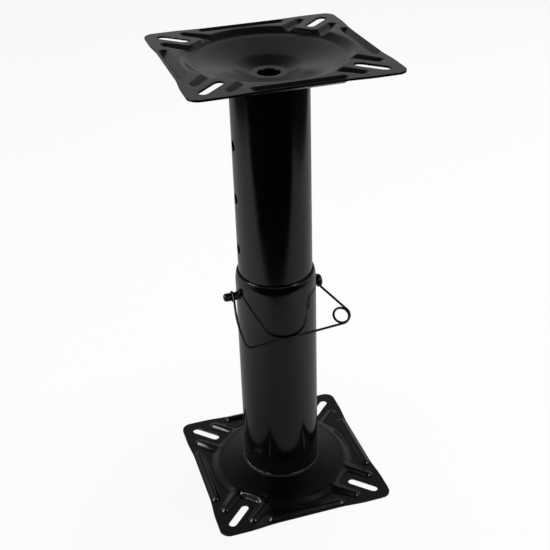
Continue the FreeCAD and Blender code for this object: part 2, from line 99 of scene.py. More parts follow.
def edge_drop(inset, radius):
    """How far a rounded edge has fallen away at this inset from the edge."""
    if inset >= radius:
        return 0.0
    return radius - math.sqrt(radius ** 2 - (radius - inset) ** 2)


def edge_tilt(inset, radius):
    """Sine of the angle that the face has turned outwards at this inset from the edge."""
    return max(0.0, (radius - inset) / radius)


def loop_pairs(numbers, closed):
    """The numbers of each two points that follow each other along a loop."""
    pairs = list(zip(numbers.tolist(), np.roll(numbers, -1).tolist()))
    return pairs if closed else pairs[:-1]


def triangulate(domain, keep):
    """Triangles over the domain's points, with its loops as edges, where keep allows their centres."""
    points = np.concatenate(domain.points)
    edges = []
    for numbers, closed in domain.loops:
        edges += loop_pairs(numbers, closed)
    corners = [Vector(point) for point in points.tolist()]
    result = delaunay_2d_cdt(corners, edges, [], 0, CLOSE_POINTS, True)
    origin = np.array([source[0] if source else -1 for source in result[3]])
    triangles = origin[np.array(result[2])]
    triangles = triangles[(triangles >= 0).all(axis=1)]
    centres = points[triangles].mean(axis=1)
    return triangles[keep(centres[:, 0], centres[:, 1])]


def sheet_arrays(domain, triangles, outer_map, inner_map):
    """Vertices, normals and faces of the closed sheet: both faces, and walls along the loops."""
    points = np.concatenate(domain.points)
    outward = np.concatenate(domain.outward)
    rounding = np.concatenate(domain.rounding)
    outer, outer_normals = outer_map(points, outward, rounding[:, 0], rounding[:, 2])
    inner, inner_normals = inner_map(points, outward, rounding[:, 1], rounding[:, 3])
    shift = len(points)
    faces = triangles.tolist() + (triangles[:, ::-1] + shift).tolist()
    for numbers, closed in domain.loops:
        for first, second in loop_pairs(numbers, closed):
            across = np.cross(outer[second] - outer[first], inner[first] - outer[first])
            wall = [first, second, second + shift, first + shift]
            if across @ (outer_normals[first] + inner_normals[first]) < 0:
                wall.reverse()
            faces.append(wall)
    vertices = np.concatenate([outer, inner])
    normals = np.concatenate([outer_normals, inner_normals])
    return vertices, normals, faces


def make_object(name, vertices, normals, faces, material):
    """Store a mesh, in metres, with the smooth normals worked out for it."""
    mesh = bpy.data.meshes.new(name)
    mesh.from_pydata((np.asarray(vertices) * MM).tolist(), [], faces)
    mesh.polygons.foreach_set("use_smooth", [True] * len(mesh.polygons))
    if normals is not None:
        lengths = np.linalg.norm(normals, axis=1, keepdims=True)
        normals = normals / np.maximum(lengths, 1e-9)
        mesh.normals_split_custom_set_from_vertices(normals.tolist())
    mesh.materials.append(material)
    mesh.validate()
    thing = bpy.data.objects.new(name, mesh)
    bpy.context.scene.collection.objects.link(thing)
    return thing


def hex_grid(low, high, step):
    """Points in a triangular grid over a rectangle."""
    rows = []
    row_step = step * math.sqrt(3) / 2
    for index, y in enumerate(np.arange(low[1], high[1] + 1e-9, row_step)):
        start = low[0] + (step / 2 if index % 2 else 0.0)
        x = np.arange(start, high[0] + 1e-9, step)
        rows.append(np.stack([x, np.full_like(x, y)], axis=1))
    return np.concatenate(rows)


# Stamped plate: height above its mounting face, as a function of place

PLATE_HALF = 88.9
PLATE_GAUGE = 2.0
PLATE_CORNER = 10.0
EDGE_DRAW = 1.8
EDGE_DRAW_FLAT = 32.0
EDGE_DRAW_RUN = 30.0
CUT_ROUND = 0.35
DISH_SLOPE = 0.219

# Where the dish changes its slope: the radius, the change, and the width over which it turns
DISH_BREAKS = [
    (73.5, 0.6133, 0.6),
    (66.0, -0.5333, 0.7),
    (62.0, 0.139, 1.5),
    (30.0, 0.186, 0.9),
    (16.5, -0.405, 0.7),
]
HOLE_RADIUS = 9.8
HOLE_LIP = 0.8
TONGUE_END = 68.5
TONGUE_HALF = 11.0
TONGUE_ROUND = 5.0
TONGUE_WALL = 5.0
SIDE_LINE = 81.4
SIDE_HALF = 38.0
SIDE_SPREAD = 5.0
SIDE_DEPTH = 3.0
SIDE_STRAIGHT = SIDE_HALF - SIDE_SPREAD * 0.5
RIB_OFFSET = 16.0
RIB_SPREAD = 5.2
RIB_WIDENING = 2.8
RIB_DEPTH = 3.0
RIB_OUTER = 95.0
RIB_INNER = 63.0
RIB_STRAIGHT = (RIB_OUTER - RIB_SPREAD * 0.6 - RIB_INNER) / 2
RIB_FLARE_OUTSIDE = 1.3
RIB_FLARE_INSIDE = 0.3
BEAD_SHOULDER = 1.04
BEAD_SKIN_SPREAD = 0.35
BEAD_BLEND = 1.8
BEAD_SKIN_BLEND = 0.4
SLOT_MIDDLE = 66.0 * ROOT_TWO
SLOT_REACH = 11.9
SLOT_RADIUS = 4.0
PLATE_STEP = 1.15
PLATE_GRID_REACH = 90.0
SIDE_POINTS = 141
CORNER_POINTS = 19
ROUND_POINTS = 72
EDGE_CLEARANCE = 0.5
LIP_CLEARANCE = 0.4


def soft_ramp(distance, width):
    """A ramp from nought, with its corner rounded over the width."""
    return width * np.logaddexp(0.0, distance / width)


def smooth_step(value):
    """Rise from 0 to 1 with level ends."""
    value = np.clip(value, 0.0, 1.0)
    return value * value * (3 - 2 * value)


def smooth_max(first, second, blend):
    """The higher of two raised shapes, with a fillet where their sides meet."""
    reach = blend * smooth_step(np.minimum(first, second) / blend) + 1e-9
    share = np.maximum(reach - np.abs(first - second), 0.0) / reach
    return np.maximum(first, second) + share * share * reach / 4


def bead_height(distance, spread, depth, skin):
    """Height of a pressed bead at a distance from its centre line, with soft shoulders and feet."""
    spread = spread + skin * BEAD_SKIN_SPREAD
    return depth * smooth_step(BEAD_SHOULDER * (1 - distance / spread))


def capsule_distance(x, y, half):
    """Distance from a straight stretch along x, centred on the origin."""
    return np.hypot(np.maximum(np.abs(x) - half, 0.0), y)


def diagonal_place(x, y):
    """Distances along and across the nearest diagonal of the plate."""
    along = (np.abs(x) + np.abs(y)) / ROOT_TWO
    return along, np.abs(np.abs(x) - np.abs(y)) / ROOT_TWO


def dish_height(x, y):
    """Height of the dish and its funnel, with a flat pocket round the inner end of each slot."""
    radius = np.hypot(x, y)
    along, across = diagonal_place(x, y)
    behind = np.maximum(TONGUE_END + TONGUE_ROUND - along, 0.0)
    beside = np.maximum(across - TONGUE_HALF + TONGUE_ROUND, 0.0)
    outside = np.hypot(behind, beside) - TONGUE_ROUND
    tongue = smooth_step(0.5 - outside / TONGUE_WALL)
    height = np.zeros_like(radius)
    for place, rise, width in DISH_BREAKS:
        height = height + rise * soft_ramp(place - radius, width)
    return height * (1 - tongue)


def hole_lip(x, y):
    """How far the mounting face falls away round the centre hole's rounded edge."""
    inset = np.clip(np.hypot(x, y) - HOLE_RADIUS, 0.0, HOLE_LIP)
    return HOLE_LIP - np.sqrt(HOLE_LIP ** 2 - (HOLE_LIP - inset) ** 2)


def plate_height(x, y, skin):
    """Height of one face of the plate above the mounting face: skin is 0 on the mounting side."""
    far = np.maximum(np.abs(x), np.abs(y))
    near = np.minimum(np.abs(x), np.abs(y))
    along, across = diagonal_place(x, y)
    height = dish_height(x, y)
    blend = BEAD_BLEND + skin * BEAD_SKIN_BLEND
    side = capsule_distance(near, far - SIDE_LINE, SIDE_STRAIGHT)
    height = smooth_max(height, bead_height(side, SIDE_SPREAD, SIDE_DEPTH, skin), blend)
    rib = capsule_distance(along - RIB_INNER - RIB_STRAIGHT, across - RIB_OFFSET, RIB_STRAIGHT)
    wider = RIB_WIDENING * smooth_step((RIB_OUTER - along) / (RIB_OUTER - RIB_INNER))
    flare = np.where(across > RIB_OFFSET, RIB_FLARE_OUTSIDE, RIB_FLARE_INSIDE)
    rib = rib / (1 + flare * wider / RIB_SPREAD)
    height = smooth_max(height, bead_height(rib, RIB_SPREAD, RIB_DEPTH, skin), blend)
    return skin + height if skin > 0.0 else height + hole_lip(x, y)


def edge_line(along):
    """Distance of the plate's side from its centre, drawn in a little in the middle of the side."""
    reach = (EDGE_DRAW_FLAT + EDGE_DRAW_RUN - np.abs(along)) / EDGE_DRAW_RUN
    return PLATE_HALF - EDGE_DRAW * smooth_step(reach)


def plate_outline():
    """Points round the plate's outline, counter-clockwise, and their outward directions."""
    straight = PLATE_HALF - PLATE_CORNER
    along = np.linspace(straight, -straight, SIDE_POINTS)[:-1]
    side = np.stack([along, edge_line(along)], axis=1)
    angles = np.linspace(math.pi, math.pi / 2, CORNER_POINTS)[:-1]
    arc = np.stack([np.cos(angles), np.sin(angles)], axis=1) * PLATE_CORNER + [-straight, straight]
    turns = [np.concatenate([side, arc[::-1]])]
    for _ in range(3):
        last = turns[-1]
        turns.append(np.stack([-last[:, 1], last[:, 0]], axis=1))
    points = np.concatenate(turns)
    ahead = np.roll(points, -1, axis=0) - np.roll(points, 1, axis=0)
    outward = np.stack([ahead[:, 1], -ahead[:, 0]], axis=1)
    return points, outward / np.linalg.norm(outward, axis=1, keepdims=True)


def slot_outline(sign_x, sign_y):
    """Points round one slot and their outward directions, which point into the slot."""
    angles = np.linspace(0, 2 * math.pi, ROUND_POINTS, endpoint=False)
    shift = np.where(np.cos(angles) > 0, SLOT_REACH, -SLOT_REACH)
    along = SLOT_MIDDLE + shift + SLOT_RADIUS * np.cos(angles)
    across = SLOT_RADIUS * np.sin(angles)

    def turned_out(along, across):
        return np.stack([(along - across) / ROOT_TWO * sign_x, (along + across) / ROOT_TWO * sign_y], axis=1)

    return turned_out(along, across), turned_out(-np.cos(angles), -np.sin(angles))


def slot_distance(x, y):
    """Distance from the centre line of the nearest slot."""
    along, across = diagonal_place(x, y)
    return capsule_distance(along - SLOT_MIDDLE, across, SLOT_REACH)


def in_outline(x, y, margin):
    """Whether places lie inside the plate's outline by at least the margin."""
    inside = (np.abs(y) < edge_line(x) - margin) & (np.abs(x) < edge_line(y) - margin)
    straight = PLATE_HALF - PLATE_CORNER
    corner_x = np.abs(x) - straight
    corner_y = np.abs(y) - straight
    in_corner = (corner_x > 0) & (corner_y > 0)
    round_off = np.hypot(corner_x, corner_y) > PLATE_CORNER - margin
    return inside & ~(in_corner & round_off)


def on_plate(x, y, margin=0.0):
    """Whether places lie on the plate's metal, clear of its edges by the margin."""
    clear = (slot_distance(x, y) > SLOT_RADIUS + margin) & (np.hypot(x, y) > HOLE_RADIUS + margin)
    return clear & in_outline(x, y, margin)


def face_normals(points, skin):
    """Upward normals of one face of the plate."""
    x, y = points[:, 0], points[:, 1]
    step = SLOPE_STEP
    slope_x = (plate_height(x + step, y, skin) - plate_height(x - step, y, skin)) / (2 * step)
    slope_y = (plate_height(x, y + step, skin) - plate_height(x, y - step, skin)) / (2 * step)
    normals = np.stack([-slope_x, -slope_y, np.ones_like(x)], axis=1)
    return normals / np.linalg.norm(normals, axis=1, keepdims=True)


def tilted(normals, outward, tilt):
    """Turn normals towards the outward direction, by the sine given."""
    turn = np.sqrt(np.maximum(1 - tilt ** 2, 0.0))
    return normals * turn[:, None] + outward * tilt[:, None]


def plate_face(skin, side):
    """A map that lays flat points on one face of the plate: side is 1 on the outer face and -1 below."""

    def lay(points, outward, drop, tilt):
        height = plate_height(points[:, 0], points[:, 1], skin) - side * drop
        flat = np.column_stack([outward, np.zeros(len(outward))])
        normals = tilted(side * face_normals(points, skin), flat, tilt)
        return np.column_stack([points, height]), normals

    return lay


def build_plate():
    """The stamped plate as a closed mesh, mounting face down."""
    domain = Domain()
    points, outward = plate_outline()
    domain.add_edge(points, outward, CUT_ROUND, CUT_ROUND)
    for sign_x, sign_y in ((1, 1), (1, -1), (-1, 1), (-1, -1)):
        points, outward = slot_outline(sign_x, sign_y)
        domain.add_edge(points, outward, CUT_ROUND, CUT_ROUND)
    angles = np.linspace(0, 2 * math.pi, ROUND_POINTS, endpoint=False)
    circle = np.stack([np.cos(angles), np.sin(angles)], axis=1)
    domain.add_edge(circle * HOLE_RADIUS, -circle, CUT_ROUND, CUT_ROUND)
    domain.add(circle * (HOLE_RADIUS + HOLE_LIP))
    reach = PLATE_GRID_REACH
    grid = hex_grid((-reach, -reach), (reach, reach), PLATE_STEP)
    x, y = grid[:, 0], grid[:, 1]
    past_lip = np.hypot(x, y) > HOLE_RADIUS + HOLE_LIP + LIP_CLEARANCE
    domain.add(grid[on_plate(x, y, CUT_ROUND + EDGE_CLEARANCE) & past_lip])
    triangles = triangulate(domain, on_plate)
    return sheet_arrays(domain, triangles, plate_face(PLATE_GAUGE, 1), plate_face(0.0, -1))


# Tubes: the same sheet, rolled up about the z axis

TUBE_COLUMNS = 160
CROSS_HOLE_RADIUS = 4.75
CROSS_HOLE_TURNS = (0.25, 0.75)
CROSS_HOLE_POINTS = 48
TUBE_END_CLEARANCE = 1.0
CROSS_HOLE_CLEARANCE = 0.6


def add_tube_ends(domain, across, length, head_round):
    """Add the two cut ends of the tube's flat sheet."""
    up = np.tile([0.0, 1.0], (len(across), 1))
    bottom = np.stack([across, np.zeros(len(across))], axis=1)
    top = np.stack([across, np.full(len(across), length)], axis=1)
    domain.add_edge(bottom, -up, CUT_ROUND, CUT_ROUND, closed=False)
    domain.add_edge(top, up, head_round, CUT_ROUND, closed=False)


def add_cross_holes(domain, radius, girth, holes):
    """Add the cross holes, which are round once the sheet is rolled up."""
    angles = np.linspace(0, 2 * math.pi, CROSS_HOLE_POINTS, endpoint=False)
    sideways = np.arcsin(CROSS_HOLE_RADIUS * np.cos(angles) / radius) * radius
    outward = -np.stack([np.cos(angles), np.sin(angles)], axis=1)
    for level in holes:
        for turn in CROSS_HOLE_TURNS:
            ring = np.stack([turn * girth + sideways, level + CROSS_HOLE_RADIUS * np.sin(angles)], axis=1)
            domain.add_edge(ring, outward, CUT_ROUND, CUT_ROUND)


def rolled_face(radius, foot, profile, side):
    """A map that rolls one face of the flat sheet up: side is 1 outside and -1 in the bore."""

    def lay(points, outward, drop, tilt):
        angle = points[:, 0] / radius + math.pi / 2
        radial = np.stack([np.cos(angle), np.sin(angle), np.zeros_like(angle)], axis=1)
        around = np.stack([-np.sin(angle), np.cos(angle), np.zeros_like(angle)], axis=1)
        level = points[:, 1]
        local = profile(level) - side * drop
        slope = (profile(level + SLOPE_STEP) - profile(level - SLOPE_STEP)) / (2 * SLOPE_STEP)
        place = radial * local[:, None]
        place[:, 2] = foot + level
        normals = radial.copy()
        normals[:, 2] = -slope
        normals *= side / np.linalg.norm(normals, axis=1, keepdims=True)
        flat = around * outward[:, :1] + np.array([0.0, 0.0, 1.0]) * outward[:, 1:]
        return place, tilted(normals, flat, tilt)

    return lay


def build_tube(radius, foot, length, holes, outer_at, inner_at, head_round):
    """A tube with round cross holes along X, as a closed mesh."""
    girth = 2 * math.pi * radius
    step = girth / TUBE_COLUMNS
    across = np.arange(TUBE_COLUMNS + 1) * step
    domain = Domain()
    add_tube_ends(domain, across, length, head_round)
    add_cross_holes(domain, radius, girth, holes)
    rows = np.linspace(0, length, int(length / step) + 1)[1:-1]
    rows = rows[(rows > TUBE_END_CLEARANCE) & (rows < length - head_round - TUBE_END_CLEARANCE)]
    grid = np.array([(place, height) for height in rows for place in across])

    def hole_distance(place, height):
        centres = [(turn * girth, level) for level in holes for turn in CROSS_HOLE_TURNS]
        return np.min([np.hypot(place - middle, height - level) for middle, level in centres], axis=0)

    clear = CROSS_HOLE_RADIUS + CUT_ROUND + CROSS_HOLE_CLEARANCE
    domain.add(grid[hole_distance(grid[:, 0], grid[:, 1]) > clear])
    triangles = triangulate(domain, lambda place, height: hole_distance(place, height) > CROSS_HOLE_RADIUS)
    outer = rolled_face(radius, foot, outer_at, 1)
    inner = rolled_face(radius, foot, inner_at, -1)
    return weld_seam(*sheet_arrays(domain, triangles, outer, inner))


def weld_seam(vertices, normals, faces):
    """Join vertices that lie on each other where the sheet's two ends meet."""
    keys = np.round(vertices * 1000).astype(np.int64)
    _, first, back = np.unique(keys, axis=0, return_index=True, return_inverse=True)
    back = back.reshape(-1)
    joined = [back[np.array(face)].tolist() for face in faces]
    joined = [face for face in joined if len(set(face)) == len(face)]
    return vertices[first], normals[first], joined


LOWER_RADIUS = 38.1
LOWER_BORE = 36.2
LOWER_LENGTH = 224.25
MOUTH_RADIUS = 36.9
MOUTH_GUIDE = 35.225
MOUTH_TOP = 1.1
MOUTH_TAPER = 5.6
MOUTH_START_WIDTH = 0.9
MOUTH_END_WIDTH = 0.6
MOUTH_ROUND = 1.2
UPPER_RADIUS = 34.925
UPPER_BORE = 33.025
UPPER_LENGTH = 254.0
LOWER_HOLE = 202.05
UPPER_HOLES = [36.0, 86.8, 137.6, 188.4]


def necked(height, plain, narrow):
    """Radius of one face of the lower tube: plain, then necked in at the mouth."""
    slope = (plain - narrow) / MOUTH_TAPER
    start = LOWER_LENGTH - MOUTH_TOP - MOUTH_TAPER
    end = LOWER_LENGTH - MOUTH_TOP
    taper = soft_ramp(height - start, MOUTH_START_WIDTH) - soft_ramp(height - end, MOUTH_END_WIDTH)
    return plain - slope * taper


def lower_outer(height):
    """Radius of the lower tube's outside."""
    return necked(height, LOWER_RADIUS, MOUTH_RADIUS)


def lower_inner(height):
    """Radius of the lower tube's bore."""
    return necked(height, LOWER_BORE, MOUTH_GUIDE)


# Round and swept pieces

def ring_faces(count, sides):
    """Faces that join rings of points into a closed tube, with a cap at either end."""
    faces = []
    for ring in range(count - 1):
        for column in range(sides):
            after = (column + 1) % sides
            low, high = ring * sides, (ring + 1) * sides
            faces.append([low + column, low + after, high + after, high + column])
    faces.append(list(range(sides))[::-1])
    faces.append([(count - 1) * sides + column for column in range(sides)])
    return faces


def build_lathe(profile, steps):
    """Turn an open profile of (radius, place) about the X axis, closed at both ends."""
    angles = np.linspace(0, 2 * math.pi, steps, endpoint=False)
    rings = [[place, radius * math.cos(a), radius * math.sin(a)] for radius, place in profile for a in angles]
    return np.array(rings), ring_faces(len(profile), steps)


def rounded_corner(centre, radius, start, end, steps):
    """Points along an arc in the (radius, height) plane, by angles in degrees."""
    angles = np.radians(np.linspace(start, end, steps))
    return [(centre[0] + radius * math.cos(a), centre[1] + radius * math.sin(a)) for a in angles]


WIRE_SIDES = 16
WIRE_END_SIZES = (0.72, 0.93, 1.0)


def build_sweep(path, radius):
    """A round wire along a path, with softly rounded ends."""
    path = np.asarray(path, float)
    tangents = np.gradient(path, axis=0)
    tangents /= np.linalg.norm(tangents, axis=1, keepdims=True)
    normal = np.cross(tangents[0], [0.3, 0.2, 0.9])
    normal /= np.linalg.norm(normal)
    rings = []
    last = len(path) - 1
    for index, (point, tangent) in enumerate(zip(path, tangents)):
        normal = normal - tangent * (normal @ tangent)
        normal /= np.linalg.norm(normal)
        side = np.cross(tangent, normal)
        from_end = min(index, last - index)
        local = radius * WIRE_END_SIZES[min(from_end, len(WIRE_END_SIZES) - 1)]
        for step in range(WIRE_SIDES):
            angle = 2 * math.pi * step / WIRE_SIDES
            rings.append(point + local * (normal * math.cos(angle) + side * math.sin(angle)))
    return np.array(rings), ring_faces(len(path), WIRE_SIDES)


# Pin and bail: their own frame has the pin's axis along X and the bail's wire below it, at -Z

PIN_RADIUS = 3.97
HEAD_START = 41.0
HEAD_LENGTH = 4.6
HEAD_RADIUS = 6.35
HEAD_ROUND = 2.8
TIP_END = -51.8
TIP_ROUND = 2.6
NECK_PLACE = -43.2
NECK_HALF = 1.35
NECK_RADIUS = 3.17
PIN_END_RADIUS = 0.3
PIN_SIDES = 48
HEAD_EDGE = 0.4
WIRE_RADIUS = 1.15
WIRE_ENTRY = HEAD_START + HEAD_LENGTH / 2
WIRE_GAP = 0.06
BAIL_REACH = 50.6
BAIL_SETBACK = 1.5
BAIL_SLOPE = math.radians(3.5)
REST_GAP = 0.3
CORNER_OVERHANG = 4.2
KNEE_DROP = 25.0
KNEE_BULGE = 2.5
HOOK_STUB = 4.0
COIL_RADIUS = 7.7
COIL_OVERHANG = 16.4
COIL_PITCH = 2.6
ARM_STUB = 0.6
PATH_STEP = 0.45
HOOK_TURN = 240
HOOK_POINTS = 40
HOOK_BEND = 20.0
KNEE_BEND = 110.0
CORNER_BEND = 6.5
HEAD_BEND = 3.0

hinge = [joint for joint in frame["joints"] if joint["name"] == "bail_swing"][0]
PIN_LEVEL = hinge["pos_m"][2] / MM
BAIL_SPAN = math.hypot(BAIL_REACH, BAIL_SETBACK)
REST_RADIUS = LOWER_RADIUS + WIRE_RADIUS + REST_GAP
BAIL_ANGLE = math.asin(REST_RADIUS / BAIL_SPAN) + math.atan(BAIL_SETBACK / BAIL_REACH)


def swing(points):
    """Turn points of the pin's frame outwards to where the bail rests, and raise them to the pin."""
    points = np.asarray(points, float)
    cosine, sine = math.cos(-BAIL_ANGLE), math.sin(-BAIL_ANGLE)
    y = points[:, 1] * cosine - points[:, 2] * sine
    z = points[:, 1] * sine + points[:, 2] * cosine
    return np.stack([points[:, 0], y, z + PIN_LEVEL], axis=1)


def bail_point(along, drop, outward):
    """A point of the bail: along the pin, down from its axis, and outwards from the bail's own plane."""
    return np.array([along, -outward, -drop], float)


def rounded_path(points, rounds):
    """Points along straight runs, with an arc at each inner corner."""
    path = []
    start = points[0]
    for before, here, after, radius in zip(points, points[1:], points[2:], rounds):
        inward = (before - here) / np.linalg.norm(before - here)
        outward = (after - here) / np.linalg.norm(after - here)
        half = math.acos(np.clip(inward @ outward, -1, 1)) / 2
        bisector = (inward + outward) / np.linalg.norm(inward + outward)
        centre = here + bisector * radius / math.sin(half)
        near = here + inward * radius / math.tan(half)
        far = here + outward * radius / math.tan(half)
        path += straight_path(start, near)
        sweep = math.pi - 2 * half
        count = max(3, int(radius * sweep / PATH_STEP) + 1)
        first = near - centre
        second = far - centre
        for share in np.linspace(0, 1, count)[:-1]:
            weight = math.sin((1 - share) * sweep), math.sin(share * sweep)
            path.append(centre + (first * weight[0] + second * weight[1]) / math.sin(sweep))
        start = far
    return path + straight_path(start, points[-1])


def straight_path(start, end):
    """Points along one straight run, without its last point."""
    count = max(2, int(np.linalg.norm(end - start) / PATH_STEP) + 1)
    return [start + (end - start) * share for share in np.linspace(0, 1, count)[:-1]]


def bail_path():
    """The bail's centre line, from its hook over the pin's neck to its end in the pin's head."""
    hook = NECK_RADIUS + WIRE_GAP + WIRE_RADIUS
    corner_x = -(LOWER_RADIUS + CORNER_OVERHANG)
    slope = math.tan(BAIL_SLOPE)
    corner_drop = BAIL_REACH - slope * corner_x
    corner = bail_point(corner_x, corner_drop, -BAIL_SETBACK)
    coil_x = LOWER_RADIUS + COIL_OVERHANG
    coil_drop = BAIL_REACH - slope * coil_x - COIL_RADIUS / math.cos(BAIL_SLOPE)
    start_angle = BAIL_SLOPE - math.pi / 2
    head_drop = HEAD_RADIUS + ARM_STUB
    aim = math.atan2(coil_drop - head_drop, coil_x - WIRE_ENTRY)
    distance = math.hypot(coil_drop - head_drop, coil_x - WIRE_ENTRY)
    end_angle = math.pi - aim - math.acos(COIL_RADIUS / distance)
    turn = end_angle - start_angle + 2 * math.pi
    path = []
    for degrees in np.linspace(HOOK_TURN, 0, HOOK_POINTS)[:-1]:
        angle = math.radians(degrees)
        path.append(bail_point(NECK_PLACE, -hook * math.sin(angle), hook * math.cos(angle)))
    coil_start = coil_place(coil_x, coil_drop, start_angle, 0.0)
    stub = bail_point(NECK_PLACE, HOOK_STUB, hook)
    share = (KNEE_DROP - HOOK_STUB) / (corner_drop - HOOK_STUB)
    knee = bail_point(NECK_PLACE - KNEE_BULGE, KNEE_DROP, hook - (hook + BAIL_SETBACK) * share)
    leg = [bail_point(NECK_PLACE, 0, hook), stub, knee, corner, coil_start]
    path += rounded_path(leg, [HOOK_BEND, KNEE_BEND, CORNER_BEND])
    count = int(turn * COIL_RADIUS / PATH_STEP)
    for share in np.linspace(0, 1, count)[:-1]:
        rise = COIL_PITCH * turn * share / (2 * math.pi)
        path.append(coil_place(coil_x, coil_drop, start_angle + turn * share, rise))
    coil_end = coil_place(coil_x, coil_drop, end_angle, COIL_PITCH * turn / (2 * math.pi))
    head_bend = bail_point(WIRE_ENTRY, head_drop, 0)
    head_end = bail_point(WIRE_ENTRY, -HEAD_RADIUS, 0)
    path += rounded_path([coil_end, head_bend, head_end], [HEAD_BEND])
    return path + [head_end]


def coil_place(coil_x, coil_drop, angle, rise):
    """A point of the spring coil."""
    along = coil_x + COIL_RADIUS * math.cos(angle)
    drop = coil_drop - COIL_RADIUS * math.sin(angle)
    return bail_point(along, drop, rise - BAIL_SETBACK)


def pin_profile():
    """The pin's profile from its tip to the top of its head, as (radius, place along the pin)."""
    points = [(PIN_END_RADIUS, TIP_END)]
    points += rounded_corner((PIN_RADIUS - TIP_ROUND, TIP_END + TIP_ROUND), TIP_ROUND, -90, 0, 8)
    for side in (1, -1):
        place = NECK_PLACE - side * NECK_HALF
        edge = [(PIN_RADIUS, place - side * 0.25), (PIN_RADIUS - 0.12, place), (NECK_RADIUS + 0.1, place)]
        edge += [(NECK_RADIUS, place + side * 0.2)]
        points += edge if side > 0 else edge[::-1]
    points += [(PIN_RADIUS, HEAD_START - 0.2), (PIN_RADIUS, HEAD_START)]
    points += rounded_corner((HEAD_RADIUS - HEAD_EDGE, HEAD_START + HEAD_EDGE), HEAD_EDGE, -90, 0, 4)
    head_end = HEAD_START + HEAD_LENGTH
    points += rounded_corner((HEAD_RADIUS - HEAD_ROUND, head_end - HEAD_ROUND), HEAD_ROUND, 0, 90, 10)
    return points + [(PIN_END_RADIUS, head_end)]


WELD_STEPS = 720
WELD_SECTION = 10
WELD_RIPPLES = 64
WELD_SMOOTH_TURN = 1.86
WELD_SIZE = 1.6
WELD_UNEVEN = 0.5
WELD_ROOT_DEPTH = 0.3
WELD_BULGE = 0.7


def weld_form(step):
    """Angle, ripple, roughness and size of the weld at one step round the tube."""
    angle = 2 * math.pi * step / WELD_STEPS
    phase = step * WELD_RIPPLES / WELD_STEPS + 0.35 * math.sin(angle * 11) + 0.25 * math.sin(angle * 17 + 1)
    ripple = abs(math.sin(math.pi * phase)) ** 0.6
    wander = 0.5 + 0.5 * math.sin(angle * 7 + 1.3 * math.sin(angle * 3))
    rough = 0.2 + 0.8 * smooth_step(abs(math.sin(angle + WELD_SMOOTH_TURN)) * 1.6)
    size = WELD_SIZE + WELD_UNEVEN * ripple * rough + WELD_UNEVEN * wander * rough
    return angle, ripple, rough, size


def build_weld(radius, root, slope, facing):
    """A rippled weld bead in the corner between a plate's dome and a tube."""
    vertices = []
    for step in range(WELD_STEPS):
        angle, ripple, rough, size = weld_form(step)
        toe = (radius + size, root - slope * size)
        head = (radius, root + size)
        for index in range(WELD_SECTION):
            share = index / (WELD_SECTION - 1)
            grain = 0.06 * math.sin(angle * 149 + share * 9) + 0.05 * math.sin(angle * 211 - share * 13)
            bulge = math.sin(math.pi * share) * size * (0.05 + (0.18 * ripple + grain) * rough)
            place = toe[0] + (head[0] - toe[0]) * share + bulge * WELD_BULGE
            height = toe[1] + (head[1] - toe[1]) * share + bulge * WELD_BULGE
            vertices.append([place * math.cos(angle), place * math.sin(angle), facing(height)])
        vertices.append([radius * math.cos(angle), radius * math.sin(angle), facing(root - WELD_ROOT_DEPTH)])
    ring = WELD_SECTION + 1
    faces = []
    for step in range(WELD_STEPS):
        here, after = step * ring, (step + 1) % WELD_STEPS * ring
        for index in range(ring):
            following = (index + 1) % ring
            faces.append([here + index, after + index, after + following, here + following])
    return np.array(vertices), faces


# Materials

def new_material(name):
    """Start a node material, and give its tree and its shader."""
    material = bpy.data.materials.new(name)
    material.use_nodes = True
    tree = material.node_tree
    return material, tree, tree.nodes["Principled BSDF"]


def noise(tree, coordinates, scale, detail):
    """A noise texture in the object's own coordinates."""
    node = tree.nodes.new("ShaderNodeTexNoise")
    node.inputs["Scale"].default_value = scale
    node.inputs["Detail"].default_value = detail
    tree.links.new(coordinates.outputs["Object"], node.inputs["Vector"])
    return node


def ranged(tree, source, low, high):
    """Spread a value between two ends."""
    node = tree.nodes.new("ShaderNodeMapRange")
    node.inputs["From Min"].default_value = 0.3
    node.inputs["From Max"].default_value = 0.7
    node.inputs["To Min"].default_value = low
    node.inputs["To Max"].default_value = high
    tree.links.new(source, node.inputs["Value"])
    return node.outputs["Result"]


def bump(tree, source, strength, distance):
    """A bumpy surface from a texture, with its height in metres."""
    node = tree.nodes.new("ShaderNodeBump")
    node.inputs["Strength"].default_value = strength
    node.inputs["Distance"].default_value = distance
    tree.links.new(source.outputs["Fac"], node.inputs["Height"])
    return node


MOTTLE_SCALE = 60.0
GLOSS_SCALE = 25.0
PEEL_SCALE = 900.0
PEEL_HEIGHT = 0.00002
WAVE_SCALE = 120.0
WAVE_HEIGHT = 0.0001


